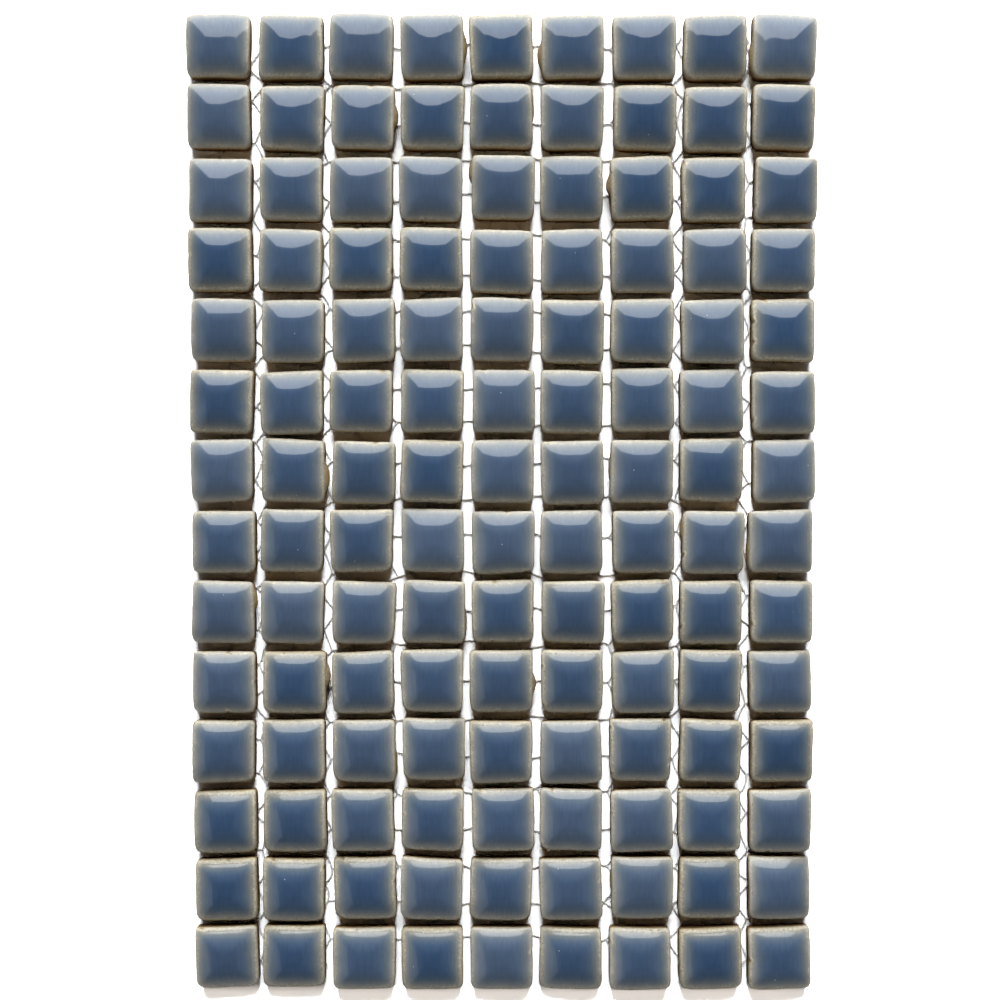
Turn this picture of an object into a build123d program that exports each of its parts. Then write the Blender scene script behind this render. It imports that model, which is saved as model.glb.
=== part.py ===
"""Sheet of small pillowed ceramic tiles glued to a hexagonal net, lying face up."""

import os
import random
from math import sqrt, tan, radians

from build123d import *

# Tile: a square biscuit with blunted corners, leaning sides and a pillowed face
tile_width = 10.0
tile_thickness = 5.0
crown_rise = 1.4
corner_cut = 0.7
side_draft = 3.0

# Sheet: columns run across (X), rows run along (Y)
columns = 9
rows = 14
joint = 1.2

# Net: hexagons with two sides lying across the sheet, under the backs of the tiles
net_cell = 6.0
yarn_width = 0.5
yarn_height = 0.35
net_strips = 3

# Hand laying: each tile sits a little out of place and out of square
wander = joint / 5
twist = 1.5
laying = random.Random(14)

pitch = tile_width + joint
sheet_width = columns * pitch - joint
sheet_length = rows * pitch - joint
rim_height = tile_thickness - crown_rise
foot_width = tile_width - 2 * rim_height * tan(radians(side_draft))

os.makedirs("parts", exist_ok=True)

# One tile, standing on the net
with BuildPart() as tile:
    with BuildSketch(Plane.XY.offset(yarn_height)):
        foot = Rectangle(foot_width, foot_width)
        chamfer(foot.vertices(), corner_cut)
    extrude(amount=tile_thickness, taper=-side_draft)
    for upright in (Plane.XZ, Plane.YZ):
        with BuildSketch(upright):
            with BuildLine():
                rim_left = (-tile_width / 2, yarn_height + rim_height)
                rim_right = (tile_width / 2, yarn_height + rim_height)
                Polyline(rim_left, (-tile_width / 2, 0), (tile_width / 2, 0), rim_right)
                ThreePointArc(rim_left, (0, yarn_height + tile_thickness), rim_right)
            make_face()
        extrude(amount=tile_width, both=True, mode=Mode.INTERSECT)

# Rows of tiles, numbered from the far edge of the sheet
for row in range(rows):
    spots = []
    for column in range(columns):
        x = (column - (columns - 1) / 2) * pitch + laying.uniform(-wander, wander)
        y = ((rows - 1) / 2 - row) * pitch + laying.uniform(-wander, wander)
        spots.append(Location((x, y, 0), (0, 0, laying.uniform(-twist, twist))))
    with BuildPart() as tile_row:
        with Locations(*spots):
            add(tile.part)
    tile_row.part.label = f"tile_row_{row + 1:02d}"
    export_step(tile_row.part, f"parts/tile_row_{row + 1:02d}.step")

# The net ends on whole cells inside the sheet, in strips that meet face to face
cell_step_x = net_cell * sqrt(3) / 2
cell_step_y = net_cell / 2
steps_x = int(sheet_width / 2 / cell_step_x)
steps_y = int(sheet_length / 2 / cell_step_y)
net_width = 2 * steps_x * cell_step_x
strip_edges = [(steps_y - round(2 * steps_y * i / net_strips)) * cell_step_y for i in range(net_strips + 1)]

for strip in range(net_strips):
    far_edge, near_edge = strip_edges[strip], strip_edges[strip + 1]
    with BuildPart() as net:
        with BuildSketch():
            with Locations((0, (far_edge + near_edge) / 2)):
                Rectangle(net_width, far_edge - near_edge)
            with HexLocations(net_cell / 2, 2 * steps_x + 3, steps_y + 3):
                RegularPolygon((net_cell - yarn_width) / 2, 6, major_radius=False, mode=Mode.SUBTRACT)
        extrude(amount=yarn_height)
    net.part.label = f"net_strip_{strip + 1}"
    export_step(net.part, f"parts/net_strip_{strip + 1}.step")
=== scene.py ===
"""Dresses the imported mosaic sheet: glazed tiles, a twisted yarn net, a white floor and window light."""

import math
import random

import bmesh
import bpy
import numpy as np
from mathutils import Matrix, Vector, noise


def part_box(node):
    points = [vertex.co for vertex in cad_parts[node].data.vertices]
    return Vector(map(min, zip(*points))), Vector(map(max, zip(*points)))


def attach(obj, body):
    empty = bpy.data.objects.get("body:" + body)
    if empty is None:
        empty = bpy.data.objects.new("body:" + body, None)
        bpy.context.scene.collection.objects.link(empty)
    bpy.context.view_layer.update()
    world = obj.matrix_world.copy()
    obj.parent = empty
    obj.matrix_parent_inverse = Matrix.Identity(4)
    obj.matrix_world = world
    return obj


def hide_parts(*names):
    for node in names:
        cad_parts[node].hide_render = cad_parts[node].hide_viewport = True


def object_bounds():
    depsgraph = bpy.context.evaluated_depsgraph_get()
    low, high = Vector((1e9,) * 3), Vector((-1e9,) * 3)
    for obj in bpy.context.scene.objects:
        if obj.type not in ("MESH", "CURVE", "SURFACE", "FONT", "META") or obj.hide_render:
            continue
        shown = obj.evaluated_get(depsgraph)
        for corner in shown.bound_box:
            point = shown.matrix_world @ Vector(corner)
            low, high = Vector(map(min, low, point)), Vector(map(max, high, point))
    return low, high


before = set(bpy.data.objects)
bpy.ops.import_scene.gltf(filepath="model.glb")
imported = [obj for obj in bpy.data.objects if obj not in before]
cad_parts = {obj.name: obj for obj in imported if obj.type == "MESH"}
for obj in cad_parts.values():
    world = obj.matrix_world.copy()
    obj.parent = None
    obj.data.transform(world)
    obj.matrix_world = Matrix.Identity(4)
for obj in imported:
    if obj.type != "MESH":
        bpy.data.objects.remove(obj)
cad_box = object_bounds()

MM = 0.001

# Reading the CAD meshes: corners this close are one corner, and corners this close in height are level
WELD = 0.001 * MM
LEVEL = 0.01 * MM

# Tile form: the face is a pillow, and its rim rolls over into leaning sides. The rings of points on
# the face are shares of the half width. The points of a ring crowd towards the corners.
POINTS_ROUND = 72
CORNER_CROWDING = 0.15
PILLOW_POWER = 2.5
FACE_RINGS = (0.08, 0.18, 0.28, 0.38, 0.47, 0.55, 0.62, 0.68, 0.74, 0.79, 0.84, 0.88, 0.915,
              0.94, 0.957, 0.972, 0.984, 0.993, 1.0)
FACE_TIP = 0.002 * MM
SHOULDER_START = 0.93
SHOULDER_DROP = 0.45 * MM
SIDE_STEPS = 6
FOOT_ROUND = 0.12 * MM
SHARP_ANGLE = math.radians(55)

# The sides have this share of the CAD tile's lean, and the face lies this far below the CAD face,
# so that a tilted face stays under its top
SIDE_LEAN = 0.3
HEADROOM = 0.07 * MM

# Tile chance: no two tiles left the mould, the kiln or the hand quite alike. A pair holds the limits
# that each tile is drawn between, and a higher power makes a sharper corner or hip.
FAR_CORNER_POWER = (13.0, 24.0)
NEAR_CORNER_POWER = (7.5, 12.5)
HIP_POWER = (3.0, 5.4)
SIDE_SLANT = math.radians(0.8)
SIDE_SHIFT = 0.010
WOBBLE = 0.009
WOBBLE_WAVES = range(3, 9)
WOBBLE_PHASE = (0, 6.3)
ROW_TILT = 0.07 * MM
FACE_TILT = 0.14 * MM
FACE_RIPPLE = 0.006 * MM
RIPPLE_SCALE = 450
RIPPLE_ORIGIN = (0, 99)

# Chips in the rim: how many a tile may have, their widths in radians and depths as shares of the half
# width, the share of it where they begin, and how far the rim drops for their depth
CHIP_COUNTS = (0, 0, 1, 1, 2, 4)
CHIP_WIDTH = (0.02, 0.06)
CHIP_DEPTH = (0.006, 0.022)
CHIP_START = 0.82
CHIP_DROP = 0.8

# Lumps of clay on the sides of some tiles, thickest a little above the middle of the side. Their
# widths and their turn away from the sheet's middle line are in radians.
LUMP_SHARE = 0.16
LUMP_WIDTH = (0.25, 0.50)
LUMP_DEPTH = (0.3 * MM, 0.75 * MM)
LUMP_TURN = 0.5
LUMP_HEIGHT_POWER = 0.7

# Yarn: two plies twisted together, out of place at the knots and bowed between them. The corners of
# the CAD net's openings that lie within reach of each other make one knot.
PLY_SIDES = 5
PLY_STEPS = 9
TWISTS_PER_SIDE = 2.5
KNOT_REACH = 0.62 * MM
KNOT_WANDER = 0.38 * MM
YARN_BOW = 0.5 * KNOT_WANDER
NET_SEED = 100

# Glaze: how much clouds, the tile's own tone and chips change its depth, the range of depth that its
# colours span, the depth at which it covers the body, and the depths between which the rim's wear grows
CLOUD_DEPTH = 0.10
TONE_DEPTH = 0.06
BARE_DEPTH = 0.22
GLAZE_RANGE = (-0.25, 0.75)
GLAZE_COVERS = 0.12
RIM_RANGE = (0.17, 0.03)

# Clay: how much stains change the depth below the rim that its colour follows
STAIN_DEPTH = 0.2

# Noise scales, to a metre
CLOUD_SCALE = 420
STREAK_SCALE = 2600
STREAK_STRETCH = (1, 0.15, 1)
GRAIN_SCALE = 2600
WEAR_SCALE = 2400
PIT_SCALE = 2500
WAVE_SCALE = 300
STAIN_SCALE = 700
FIBRE_SCALE = 5200

# Noise values between which each mark grows from nothing to full
STREAK_LIMITS = (0.3, 0.7)
GRAIN_LIMITS = (0.5, 0.75)
WEAR_LIMITS = (0.50, 0.66)
PIT_LIMITS = (0.62, 0.70)
FIBRE_LIMITS = (0.35, 0.7)

# Heights of the fine relief in the finishes
WAVE_HEIGHT = 0.014 * MM
GRAIN_HEIGHT = 0.16 * MM
FLUFF_HEIGHT = 0.05 * MM

# Colours as a screen shows them, from the bare edge to the deep middle and from the rim to the back
GLAZE_COLOURS = (
    (0.00, (96, 79, 57)),
    (0.16, (112, 95, 71)),
    (0.24, (168, 156, 131)),
    (0.28, (172, 165, 148)),
    (0.36, (139, 137, 129)),
    (0.48, (104, 111, 116)),
    (0.60, (83, 96, 111)),
    (0.74, (70, 86, 108)),
    (1.00, (59, 77, 102)),
)
# The clay turns darker from the rim to the back: partly its own colour, partly painted shade of the deep
# joints between tiles
CLAY_AND_JOINT_SHADE_COLOURS = (
    (0.00, (172, 158, 126)),
    (0.20, (150, 123, 86)),
    (0.46, (128, 99, 64)),
    (0.80, (108, 81, 50)),
    (1.00, (88, 64, 39)),
)
RIM_GRAIN_COLOUR = (150, 128, 92)
CLAY_GRAIN_COLOUR = (122, 93, 60)
WORN_COLOUR = (204, 193, 165)
PIT_COLOUR = (100, 83, 60)
PALE_SPECK_COLOUR = (160, 168, 174)
DARK_SPECK_COLOUR = (52, 46, 40)
YARN_COLOURS = ((230, 228, 222), (250, 249, 246))

# Camera over the middle of the sheet, as high as the tiles' sides show, with a slight lean in degrees
VIEW_WIDTH = 158.9 * MM
CAMERA_HEIGHT = 290 * MM
CAMERA_Y = -2.0 * MM
LOOK_AT_X = -0.38 * MM
LOOK_AT_Y = 1.12 * MM
LEAN = 2.7

# Panels: a window beyond the far edge and a wall on the left that the glaze mirrors, and the daylight
# that falls in along the sheet. Distances are in metres from the sheet's middle. Angles are in degrees:
# bearings go from +Y over -X, spreads to either side, and top angles from straight overhead.
WINDOW_DISTANCE = 0.22
WINDOW_SPREAD = 41.0
WINDOW_TOP_ANGLE = 31.0
WINDOW_RADIANCE = 4.3
WALL_DISTANCE = 1.5
WALL_BEARING = 116.0
WALL_SPREAD = 28.0
WALL_TOP_ANGLE = 34.0
WALL_RADIANCE = 0.6
DAYLIGHT_DISTANCE = 1.5
DAYLIGHT_SPREAD = 14.0
DAYLIGHT_TOP_ANGLE = 33.0
DAYLIGHT_RADIANCE = 20.5
DAYLIGHT_TINT = (0.945, 0.975, 1.0)

# Room on the viewer's side: its light at the horizon, the height in the sky where it ends, and the
# directions along Y between which it grows from nothing to full
ROOM_LIGHT = 1.45
ROOM_TOP = 0.7
ROOM_SIDES = (-0.40, -0.80)

# Floor: how much light it gives back, how bright it is seen under the sheet and clear of it, how wide
# the change between the two is, and, in metres from its middle, where it turns plain white and ends
FLOOR_BOUNCE = 0.6
FLOOR_SEEN = 2.0
FLOOR_CLEAR = 9.0
FLOOR_RIM = 1.5 * MM
FLOOR_FADE = (0.2, 0.5)
FLOOR_REACH = 4.0


def srgb(red, green, blue):
    """A colour as a screen shows it, 0 to 255, turned into the shader's linear values."""
    share = [c / 255 for c in (red, green, blue)]
    linear = [c / 12.92 if c <= 0.04045 else ((c + 0.055) / 1.055) ** 2.4 for c in share]
    return (*linear, 1.0)


def turned(points, angle):
    """Flat points turned about the origin."""
    along, aside = math.cos(angle), math.sin(angle)
    return points @ np.array([[along, aside], [-aside, along]])


def away_from(facing, angles):
    """How far each angle lies from the one that is faced, the short way round."""
    return (angles - facing + math.pi) % (2 * math.pi) - math.pi


def welded(node):
    """The CAD node's mesh as a bmesh with its split corners joined."""
    mesh = bmesh.new()
    mesh.from_mesh(node.data)
    bmesh.ops.remove_doubles(mesh, verts=mesh.verts, dist=WELD)
    mesh.verts.ensure_lookup_table()
    return mesh


def islands(mesh):
    """Arrays of corners, one array for each separate solid."""
    left = set(mesh.verts)
    found = []
    while left:
        edge = [left.pop()]
        solid = []
        while edge:
            corner = edge.pop()
            solid.append(corner)
            for link in corner.link_edges:
                other = link.other_vert(corner)
                if other in left:
                    left.remove(other)
                    edge.append(other)
        found.append(np.array([corner.co for corner in solid]))
    return found


def tile_place(corners):
    """Where a CAD tile lies: its middle, turn, half widths at rim and foot, and heights."""
    base, top = corners[:, 2].min(), corners[:, 2].max()
    foot = corners[corners[:, 2] < base + LEVEL][:, :2]
    middle = foot.mean(0)
    foot = foot[np.argsort(np.arctan2(*(foot - middle).T[::-1]))]
    sides = np.roll(foot, -1, 0) - foot
    long_side = sides[np.argmax(np.hypot(*sides.T))]
    quarter = math.pi / 2
    turn = (math.atan2(long_side[1], long_side[0]) + quarter / 2) % quarter - quarter / 2
    own = turned(corners[:, :2] - middle, -turn)
    widest = np.argmax(np.abs(own[:, 0]))
    return {
        "middle": middle,
        "turn": turn,
        "half": abs(own[widest, 0]),
        "foot_half": np.abs(turned(foot - middle, -turn)).max(),
        "base": base,
        "rim": corners[widest, 2],
        "top": top,
    }


def outline(angles, chance):
    """Distance of the tile's edge from its middle: sides a little out of place, near corners rounder."""
    far, near = FAR_CORNER_POWER, NEAR_CORNER_POWER
    corners = np.array([chance.uniform(*limits) for limits in (far, far, near, near)])
    power = corners[(angles // (math.pi / 2)).astype(int) % 4]
    pull = np.zeros_like(angles)
    for side in range(4):
        facing = side * math.pi / 2 + chance.gauss(0, SIDE_SLANT)
        pull += (np.maximum(0, np.cos(angles - facing)) / (1 + chance.gauss(0, SIDE_SHIFT))) ** power
    edge = pull ** (-1 / power)
    for waves in WOBBLE_WAVES:
        swing = WOBBLE / waves * chance.gauss(0, 1)
        edge *= 1 + swing * np.cos(waves * angles + chance.uniform(*WOBBLE_PHASE))
    return edge


def chips(angles, chance):
    """How deep the rim is chipped at each angle, as a share of the half width."""
    depth = np.zeros_like(angles)
    for _ in range(chance.choice(CHIP_COUNTS)):
        away = away_from(chance.uniform(0, 2 * math.pi), angles)
        depth += chance.uniform(*CHIP_DEPTH) * np.exp(-(away / chance.uniform(*CHIP_WIDTH)) ** 2)
    return depth


def lumps(angles, inward, chance):
    """How far a lump of clay stands out of the side towards the sheet's middle line, on a few tiles."""
    if chance.random() > LUMP_SHARE:
        return np.zeros_like(angles)
    away = away_from(inward + chance.uniform(-LUMP_TURN, LUMP_TURN), angles)
    return chance.uniform(*LUMP_DEPTH) * np.exp(-(away / chance.uniform(*LUMP_WIDTH)) ** 4)


def face_rings(tile, angles, edge, chip, row_tilt, chance):
    """Rings of points over the pillowed face and its rolled rim, and how far chips lay them bare."""
    half, rise = tile["half"], tile["top"] - tile["rim"]
    tilt_x = chance.gauss(0, FACE_TILT)
    tilt_y = chance.gauss(row_tilt, FACE_TILT)
    hip = chance.uniform(*HIP_POWER)
    ripple_from = Vector([chance.uniform(*RIPPLE_ORIGIN) for _ in range(3)])
    rings, bare = [], []
    for share in FACE_RINGS:
        near_rim = max(0.0, (share - CHIP_START) / (1 - CHIP_START))
        reach = half * share * edge * (1 - chip * near_rim)
        x, y = reach * np.cos(angles), reach * np.sin(angles)
        away = (np.abs(x / half) ** hip + np.abs(y / half) ** hip) ** (1 / hip)
        z = tile["rim"] - HEADROOM + rise * (1 - away ** PILLOW_POWER)
        z += tilt_x * x / half + tilt_y * y / half
        spots = [Vector((a, b, 0)) * RIPPLE_SCALE + ripple_from for a, b in zip(x, y)]
        z += [FACE_RIPPLE * noise.noise(spot) for spot in spots]
        roll = max(0.0, (share - SHOULDER_START) / (1 - SHOULDER_START))
        z -= SHOULDER_DROP * (1 - math.sqrt(1 - roll ** 2)) + chip * near_rim * half * CHIP_DROP
        rings.append(np.stack([x, y, z], 1))
        bare.append(chip * near_rim / CHIP_DEPTH[1])
    return rings, bare


def side_rings(tile, brow, angles, lump):
    """Rings of points from below the rim down the side, and the last one round the back."""
    lean = SIDE_LEAN * (tile["foot_half"] / tile["half"] - 1)
    rings = []
    for step in range(1, SIDE_STEPS + 1):
        down = step / SIDE_STEPS
        narrow = 1 + lean * down
        side = brow * (narrow, narrow, 1)
        side[:, 0] += lump * np.cos(angles) * math.sin(math.pi * down ** LUMP_HEIGHT_POWER)
        side[:, 2] = brow[:, 2] + (tile["base"] + FOOT_ROUND - brow[:, 2]) * down
        rings.append(side)
    inset = 1 - FOOT_ROUND / tile["half"]
    rings.append(rings[-1] * (inset, inset, 0) + (0, 0, tile["base"]))
    return rings


def tile_points(tile, row_tilt, chance):
    """Points from the middle of the face, over the rim and down to the back, with glaze and bareness."""
    steps = np.arange(POINTS_ROUND) * 2 * math.pi / POINTS_ROUND
    angles = steps + CORNER_CROWDING * np.sin(4 * steps)
    inward = 0 if tile["middle"][0] < 0 else math.pi
    edge = outline(angles, chance)
    chip = chips(angles, chance)
    lump = lumps(angles, inward, chance)
    face, chipped = face_rings(tile, angles, edge, chip, row_tilt, chance)
    side = side_rings(tile, face[-1], angles, lump)
    tip = [[0, 0, face[0][:, 2].mean() + FACE_TIP]]
    points = np.concatenate([tip, *face, *side])
    points[:, :2] = turned(points[:, :2], tile["turn"]) + tile["middle"]
    points = np.clip(points, *cad_box)
    depths = [1 - share for share in FACE_RINGS]
    depths += [-step / SIDE_STEPS for step in range(1, SIDE_STEPS + 1)]
    depths.append(-1.0)
    glaze = np.concatenate([[1.0], np.repeat(depths, POINTS_ROUND)])
    bare = np.concatenate([[0.0], *chipped, np.zeros(POINTS_ROUND * len(side))])
    return points, glaze, bare


def tile_faces(start):
    """A fan round the middle, bands of quads between rings, and the back as one face."""
    count = POINTS_ROUND
    bands = len(FACE_RINGS) + SIDE_STEPS
    first = start + 1
    faces = [(start, first + i, first + (i + 1) % count) for i in range(count)]
    for band in range(bands):
        inner, outer = first + band * count, first + (band + 1) * count
        for i in range(count):
            j = (i + 1) % count
            faces.append((inner + i, outer + i, outer + j, inner + j))
    last = first + bands * count
    faces.append(tuple(reversed(range(last, last + count))))
    return faces


def new_piece(name, points, faces, materials, slot, finish=None, **attributes):
    """A smooth mesh that rides on the sheet, with its painted values and the finish of each face."""
    mesh = bpy.data.meshes.new(name)
    mesh.from_pydata(points, [], faces)
    mesh.shade_smooth()
    mesh.set_sharp_from_angle(angle=SHARP_ANGLE)
    for title, values in attributes.items():
        layer = mesh.attributes.new(title, "FLOAT", "POINT")
        layer.data.foreach_set("value", np.asarray(values, np.float32))
    for material in materials:
        mesh.materials.append(material)
    if finish is not None:
        mesh.polygons.foreach_set("material_index", finish)
    piece = bpy.data.objects.new(name, mesh)
    bpy.context.scene.collection.objects.link(piece)
    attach(piece, "root")
    return piece


def glazed_row(node, materials, number):
    """A row of finished tiles, each where the CAD row has one, glazed on the face and bare below."""
    points, faces, glaze, bare, tone = [], [], [], [], []
    face_count = POINTS_ROUND * len(FACE_RINGS)
    side_count = POINTS_ROUND * (SIDE_STEPS + 1) + 1
    row = random.Random(number)
    row_tilt = row.gauss(0, ROW_TILT)
    solids = welded(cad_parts[node])
    for corners in sorted(islands(solids), key=lambda solid: solid[:, 0].mean()):
        faces += tile_faces(sum(len(part) for part in points))
        one_tile, one_glaze, one_bare = tile_points(tile_place(corners), row_tilt, row)
        points.append(one_tile)
        glaze.append(one_glaze)
        bare.append(one_bare)
        tone.append(np.full(len(one_tile), row.random()))
    solids.free()
    piece = new_piece(
        f"glazed_{node}",
        np.concatenate(points),
        faces,
        materials,
        "glazed_tile",
        ([0] * face_count + [1] * side_count) * len(points),
        glaze=np.concatenate(glaze),
        bare=np.concatenate(bare),
        tone=np.concatenate(tone),
    )
    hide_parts(node)


def yarn_runs(node):
    """The net strip's knots, its yarns as pairs of knots, and how many yarns meet at each knot."""
    mesh = welded(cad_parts[node])
    low = [corner for corner in mesh.verts if corner.co.z < LEVEL]
    knot_of, knots = {}, []
    for corner in low:
        if corner in knot_of:
            continue
        near = [other for other in low if (other.co - corner.co).length < KNOT_REACH]
        for other in near:
            knot_of[other] = len(knots)
        knots.append(np.mean([other.co for other in near], 0))
    runs = {tuple(sorted(knot_of[c] for c in link.verts)) for link in mesh.edges
            if all(c in knot_of for c in link.verts)}
    runs = sorted(run for run in runs if run[0] != run[1])
    mesh.free()
    meets = np.bincount(np.array(runs).ravel(), minlength=len(knots))
    return knots, runs, meets


def round_step(aside, angle):
    """A step of length one from a yarn's middle, turned by this angle from its side."""
    return aside * math.cos(angle) + np.array([0, 0, math.sin(angle)])


def ply_faces(first):
    """The sides and the two ends of a ply whose points begin here."""
    faces = []
    for step in range(PLY_STEPS):
        for side in range(PLY_SIDES):
            i = first + step * PLY_SIDES + side
            j = first + step * PLY_SIDES + (side + 1) % PLY_SIDES
            faces.append((i, j, j + PLY_SIDES, i + PLY_SIDES))
    last = first + PLY_STEPS * PLY_SIDES
    faces.append(tuple(reversed(range(first, first + PLY_SIDES))))
    faces.append(tuple(range(last, last + PLY_SIDES)))
    return faces


def twisted_net(node, material, number):
    """A net strip of two-ply yarn, loose by a little at every knot."""
    chance = random.Random(NET_SEED + number)
    knots, runs, meets = yarn_runs(node)
    base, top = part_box(node)
    ply = (top.z - base.z) / 4  # the radius, as two plies are as high as the net
    loose = []
    for knot, meet in zip(knots, meets):
        sway = KNOT_WANDER if meet > 2 else 0
        x, y = knot[0] + chance.gauss(0, sway), knot[1] + chance.gauss(0, sway)
        loose.append(np.array([x, y, 2 * ply]))
    points, faces = [], []
    for a, b in runs:
        along = loose[b] - loose[a]
        aside = np.array([-along[1], along[0], 0]) / np.linalg.norm(along)
        bow = aside * chance.gauss(0, YARN_BOW)
        start_twist = chance.uniform(0, 2 * math.pi)
        for phase in (0, math.pi):
            faces += ply_faces(len(points))
            for step in range(PLY_STEPS + 1):
                share = step / PLY_STEPS
                twist = start_twist + phase + share * TWISTS_PER_SIDE * 2 * math.pi
                middle = loose[a] + along * share + bow * math.sin(math.pi * share)
                middle = middle + ply * round_step(aside, twist)
                for side in range(PLY_SIDES):
                    points.append(middle + ply * round_step(aside, side * 2 * math.pi / PLY_SIDES))
    piece = new_piece(f"yarn_{node}", np.array(points), faces, [material], "net_yarn")
    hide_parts(node)


class Nodes:
    """Short ways to add nodes to a tree."""

    def __init__(self, tree):
        self.tree = tree

    def connect(self, value, socket):
        """Links another node's output to the socket, or sets a plain value on it."""
        if isinstance(value, bpy.types.NodeSocket):
            self.tree.links.new(value, socket)
        else:
            socket.default_value = value

    def node(self, kind, inputs=None, **settings):
        made = self.tree.nodes.new(kind)
        for key, value in settings.items():
            setattr(made, key, value)
        for key, value in (inputs or {}).items():
            self.connect(value, made.inputs[key])
        return made

    def math(self, operation, a, b=0.0):
        return self.node("ShaderNodeMath", {0: a, 1: b}, operation=operation).outputs[0]

    def between(self, value, low, high, to_low=0.0, to_high=1.0):
        inputs = {"Value": value, "From Min": low, "From Max": high, "To Min": to_low, "To Max": to_high}
        return self.node("ShaderNodeMapRange", inputs).outputs["Result"]

    def place(self, kind="Object"):
        return self.node("ShaderNodeTexCoord").outputs[kind]


class Paint(Nodes):
    """A new material and the nodes that its finishes share."""

    def __init__(self, name):
        self.material = bpy.data.materials.new(name)
        self.material.use_nodes = True
        super().__init__(self.material.node_tree)
        self.shader = self.tree.nodes["Principled BSDF"]

    def value(self, attribute):
        return self.node("ShaderNodeAttribute", attribute_name=attribute).outputs["Fac"]

    def noise(self, scale, detail=3.0, place=None):
        inputs = {"Vector": place or self.place(), "Scale": scale, "Detail": detail}
        return self.node("ShaderNodeTexNoise", inputs).outputs["Fac"]

    def ramp(self, value, stops):
        made = self.node("ShaderNodeValToRGB", {"Fac": value})
        spots = made.color_ramp.elements
        while len(spots) < len(stops):
            spots.new(0.5)
        for spot, (position, colour) in zip(spots, stops):
            spot.position = position
            spot.color = srgb(*colour)
        return made.outputs["Color"]

    def mix(self, share, a, b):
        made = self.node("ShaderNodeMix", data_type="RGBA")
        for socket, value in ((made.inputs["Factor"], share), (made.inputs[6], a), (made.inputs[7], b)):
            self.connect(value, socket)
        return made.outputs[2]

    def specks(self, scale, size, share):
        """Small round spots scattered at random: one in each cell, kept in this share of the cells."""
        cells = self.node("ShaderNodeTexVoronoi", {"Vector": self.place(), "Scale": scale})
        near = self.between(cells.outputs["Distance"], size, size * 0.5)
        picked = self.node("ShaderNodeSeparateColor", {"Color": cells.outputs["Color"]}).outputs["Red"]
        return self.math("MULTIPLY", near, self.math("GREATER_THAN", picked, 1 - share))

    def bump(self, height, distance, before=None):
        inputs = {"Height": height, "Distance": distance, "Strength": 1.0}
        if before is not None:
            inputs["Normal"] = before
        return self.node("ShaderNodeBump", inputs).outputs["Normal"]

    def to_shader(self, **sockets):
        for name, value in sockets.items():
            self.connect(value, self.shader.inputs[name.replace("_", " ")])


def glazed_tile_material():
    """Slate-blue glaze, deep in the middle and thin at the rim, where the cream body shows through."""
    paint = Paint("glazed_tile")
    tone = paint.value("tone")
    cloud = paint.math("SUBTRACT", paint.noise(CLOUD_SCALE), 0.5)
    own_tone = paint.math("SUBTRACT", tone, 0.5)
    depth = paint.math("ADD", paint.value("glaze"), paint.math("MULTIPLY", cloud, CLOUD_DEPTH))
    depth = paint.math("ADD", depth, paint.math("MULTIPLY", own_tone, TONE_DEPTH))
    depth = paint.math("SUBTRACT", depth, paint.math("MULTIPLY", paint.value("bare"), BARE_DEPTH))
    colour = paint.ramp(paint.between(depth, *GLAZE_RANGE), GLAZE_COLOURS)
    along = paint.node("ShaderNodeMapping", {"Vector": paint.place(), "Scale": STREAK_STRETCH})
    streaks = paint.noise(STREAK_SCALE, detail=4.0, place=along.outputs["Vector"])
    tile_light = paint.between(tone, 0, 1, to_low=0.90, to_high=1.10)
    streak_light = paint.between(streaks, *STREAK_LIMITS, to_low=0.94, to_high=1.06)
    shade = paint.node("ShaderNodeHueSaturation", {
        "Value": paint.math("MULTIPLY", tile_light, streak_light),
        "Saturation": paint.between(tone, 1, 0, to_low=0.84, to_high=1.10),
        "Color": colour,
    }).outputs["Color"]
    glazed = paint.between(depth, 0.0, GLAZE_COVERS)
    body = paint.math("SUBTRACT", 1.0, glazed)
    grain = paint.noise(GRAIN_SCALE, detail=6.0)
    grainy = paint.math("MULTIPLY", body, paint.between(grain, *GRAIN_LIMITS, to_high=0.35))
    shade = paint.mix(grainy, shade, srgb(*RIM_GRAIN_COLOUR))
    rim = paint.between(depth, *RIM_RANGE)
    worn = paint.between(paint.noise(WEAR_SCALE, detail=5.0), *WEAR_LIMITS, to_high=0.6)
    shade = paint.mix(paint.math("MULTIPLY", rim, worn), shade, srgb(*WORN_COLOUR))
    pitted = paint.between(paint.noise(PIT_SCALE, detail=5.0), *PIT_LIMITS)
    shade = paint.mix(paint.math("MULTIPLY", rim, pitted), shade, srgb(*PIT_COLOUR))
    pale_specks = paint.specks(scale=430, size=0.05, share=0.16)
    shade = paint.mix(pale_specks, shade, srgb(*PALE_SPECK_COLOUR))
    dark_specks = paint.specks(scale=390, size=0.04, share=0.10)
    shade = paint.mix(dark_specks, shade, srgb(*DARK_SPECK_COLOUR))
    waves = paint.bump(paint.noise(WAVE_SCALE, detail=1.0), WAVE_HEIGHT)
    relief = paint.bump(paint.math("MULTIPLY", grain, body), GRAIN_HEIGHT, waves)
    roughness = paint.between(glazed, 0, 1, to_low=0.70, to_high=0.06)
    paint.to_shader(Base_Color=shade, Roughness=roughness, IOR=1.55, Normal=relief)
    return paint.material


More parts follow.
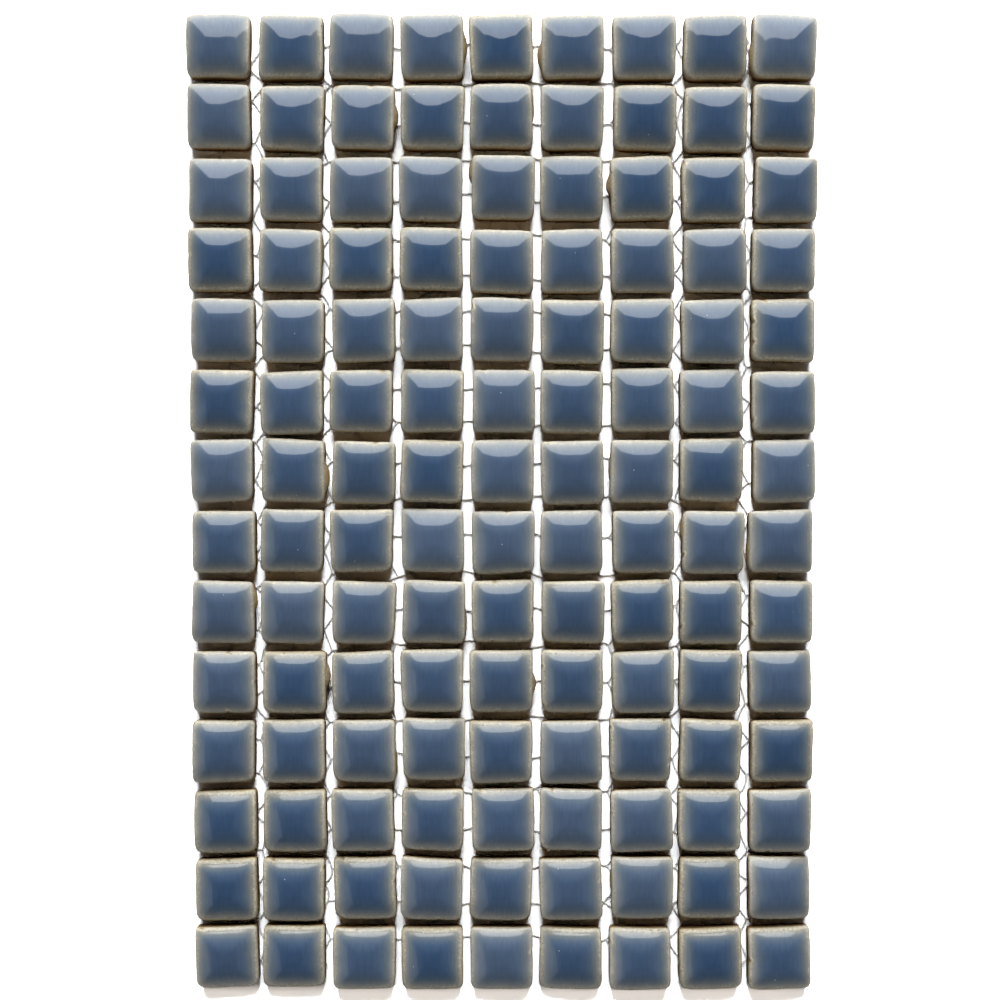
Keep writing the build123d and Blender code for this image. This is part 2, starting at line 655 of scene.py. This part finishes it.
def clay_and_joint_shade_material():
    """Bare brown clay on the sides and back, palest where it comes up to the rim and darker towards the back,
    partly the clay's own colour and partly painted shade of the narrow joints between tiles.
    """
    paint = Paint("bare_clay_and_joint_shade")
    grain = paint.noise(GRAIN_SCALE, detail=6.0)
    stain = paint.math("SUBTRACT", paint.noise(STAIN_SCALE), 0.5)
    depth = paint.math("ADD", paint.value("glaze"), paint.math("MULTIPLY", stain, STAIN_DEPTH))
    # Painted shade: the ramp darkens the clay down the side towards the back, standing in for the shade deep
    # in the joints
    colour = paint.ramp(paint.between(depth, 0.0, -1.0), CLAY_AND_JOINT_SHADE_COLOURS)
    grainy = paint.between(grain, *GRAIN_LIMITS, to_high=0.4)
    shade = paint.mix(grainy, colour, srgb(*CLAY_GRAIN_COLOUR))
    relief = paint.bump(grain, GRAIN_HEIGHT)
    paint.to_shader(Base_Color=shade, Roughness=0.9, Specular_IOR_Level=0.08, Normal=relief)
    return paint.material


def yarn_material():
    """White yarn, a little uneven and fluffy."""
    paint = Paint("net_yarn")
    fibres = paint.noise(FIBRE_SCALE, detail=4.0)
    dull, clean = YARN_COLOURS
    colour = paint.mix(paint.between(fibres, *FIBRE_LIMITS), srgb(*dull), srgb(*clean))
    fluff = paint.bump(fibres, FLUFF_HEIGHT)
    paint.to_shader(Base_Color=colour, Roughness=0.85, Normal=fluff)
    return paint.material


def add_floor():
    """A white floor that keeps the sheet's shadow, seen brighter than it lights, and plain white far off."""
    paint = Paint("floor")
    rays = paint.node("ShaderNodeLightPath").outputs
    seen = paint.math("MAXIMUM", rays["Is Camera Ray"], rays["Is Transmission Ray"])
    mirrored = paint.math("MAXIMUM", seen, rays["Is Glossy Ray"])
    place = paint.node("ShaderNodeSeparateXYZ", {"Vector": paint.place()}).outputs
    beyond_x = paint.math("SUBTRACT", paint.math("ABSOLUTE", place["X"]), cad_box[1][0])
    beyond_y = paint.math("SUBTRACT", paint.math("ABSOLUTE", place["Y"]), cad_box[1][1])
    beyond = paint.math("MAXIMUM", beyond_x, beyond_y)
    bright = paint.between(beyond, 0.0, FLOOR_RIM, to_low=FLOOR_SEEN, to_high=FLOOR_CLEAR)
    colour = paint.mix(seen, (FLOOR_BOUNCE, FLOOR_BOUNCE, FLOOR_BOUNCE, 1), bright)
    near = paint.node("ShaderNodeBsdfDiffuse", {"Color": colour}).outputs["BSDF"]
    white = paint.node("ShaderNodeEmission", {"Strength": mirrored}).outputs["Emission"]
    away = paint.node("ShaderNodeVectorMath", {0: paint.place()}, operation="LENGTH").outputs["Value"]
    blend = paint.node("ShaderNodeMixShader", {0: paint.between(away, *FLOOR_FADE), 1: near, 2: white})
    paint.connect(blend.outputs["Shader"], paint.tree.nodes["Material Output"].inputs["Surface"])
    corners = [(x * FLOOR_REACH, y * FLOOR_REACH, 0) for x, y in ((-1, -1), (1, -1), (1, 1), (-1, 1))]
    mesh = bpy.data.meshes.new("floor")
    mesh.from_pydata(corners, [], [(0, 1, 2, 3)])
    mesh.materials.append(paint.material)
    floor = bpy.data.objects.new("floor", mesh)
    bpy.context.scene.collection.objects.link(floor)


def add_panel(name, distance, bearing, spread, top_angle, radiance, mirrored):
    """An upright panel of light on the floor: one that the glaze mirrors, or one that lights every finish."""
    height = distance / math.tan(math.radians(top_angle))
    width = 2 * distance * math.tan(math.radians(spread))
    turn = math.radians(bearing)
    lamp = bpy.data.lights.new(name, "AREA")
    lamp.shape = "RECTANGLE"
    lamp.size = width
    lamp.size_y = height
    lamp.energy = radiance * math.pi * width * height
    lamp.color = DAYLIGHT_TINT
    panel = bpy.data.objects.new(name, lamp)
    panel.location = (-distance * math.sin(turn), distance * math.cos(turn), height / 2)
    panel.rotation_euler = (math.radians(-90), 0, turn)
    panel.visible_camera = False
    panel.visible_glossy = mirrored
    panel.visible_diffuse = not mirrored
    bpy.context.scene.collection.objects.link(panel)


def add_light():
    """The mirrored window and wall, the daylight from the far side, and a dim room on the viewer's side."""
    window = (WINDOW_DISTANCE, 0.0, WINDOW_SPREAD, WINDOW_TOP_ANGLE, WINDOW_RADIANCE)
    wall = (WALL_DISTANCE, WALL_BEARING, WALL_SPREAD, WALL_TOP_ANGLE, WALL_RADIANCE)
    daylight = (DAYLIGHT_DISTANCE, 0.0, DAYLIGHT_SPREAD, DAYLIGHT_TOP_ANGLE, DAYLIGHT_RADIANCE)
    add_panel("window", *window, mirrored=True)
    add_panel("wall", *wall, mirrored=True)
    add_panel("daylight", *daylight, mirrored=False)
    world = bpy.data.worlds.new("room")
    bpy.context.scene.world = world
    world.use_nodes = True
    room = Nodes(world.node_tree)
    direction = room.node("ShaderNodeSeparateXYZ", {"Vector": room.place("Generated")}).outputs
    low = room.between(direction["Z"], 0.0, ROOM_TOP, to_low=ROOM_LIGHT, to_high=0.0)
    near = room.between(direction["Y"], *ROOM_SIDES)
    seen = room.node("ShaderNodeLightPath").outputs["Is Camera Ray"]
    strength = room.math("MAXIMUM", seen, room.math("MULTIPLY", low, near))
    background = room.tree.nodes["Background"].inputs
    room.connect(strength, background["Strength"])
    room.connect((1, 1, 1, 1), background["Color"])


def add_camera(face_height):
    """The photograph's view: straight down, with a slight lean that the frame's shift takes up."""
    lean = math.radians(LEAN)
    ahead = Vector((0, -math.sin(lean), -math.cos(lean)))
    upward = Vector((0, math.cos(lean), -math.sin(lean)))
    place = Vector((LOOK_AT_X, CAMERA_Y, face_height + CAMERA_HEIGHT))
    target = Vector((LOOK_AT_X, LOOK_AT_Y, face_height)) - place
    lens = bpy.data.cameras.new("camera")
    lens.sensor_fit = "HORIZONTAL"
    lens.angle = 2 * math.atan(VIEW_WIDTH / 2 / target.dot(ahead))
    lens.shift_y = target.dot(upward) / VIEW_WIDTH
    lens.clip_start = 0.01
    camera = bpy.data.objects.new("camera", lens)
    camera.location = place
    camera.rotation_euler = (-lean, 0, 0)
    bpy.context.scene.collection.objects.link(camera)
    bpy.context.scene.camera = camera


tile_paints = [glazed_tile_material(), clay_and_joint_shade_material()]
yarn_paint = yarn_material()
for number, node in enumerate(sorted(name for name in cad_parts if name.startswith("tile_row"))):
    glazed_row(node, tile_paints, number)
for number, node in enumerate(sorted(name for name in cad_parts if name.startswith("net_strip"))):
    twisted_net(node, yarn_paint, number)
add_floor()
add_light()
add_camera(cad_box[1][2])
bpy.context.scene.view_settings.view_transform = "Standard"
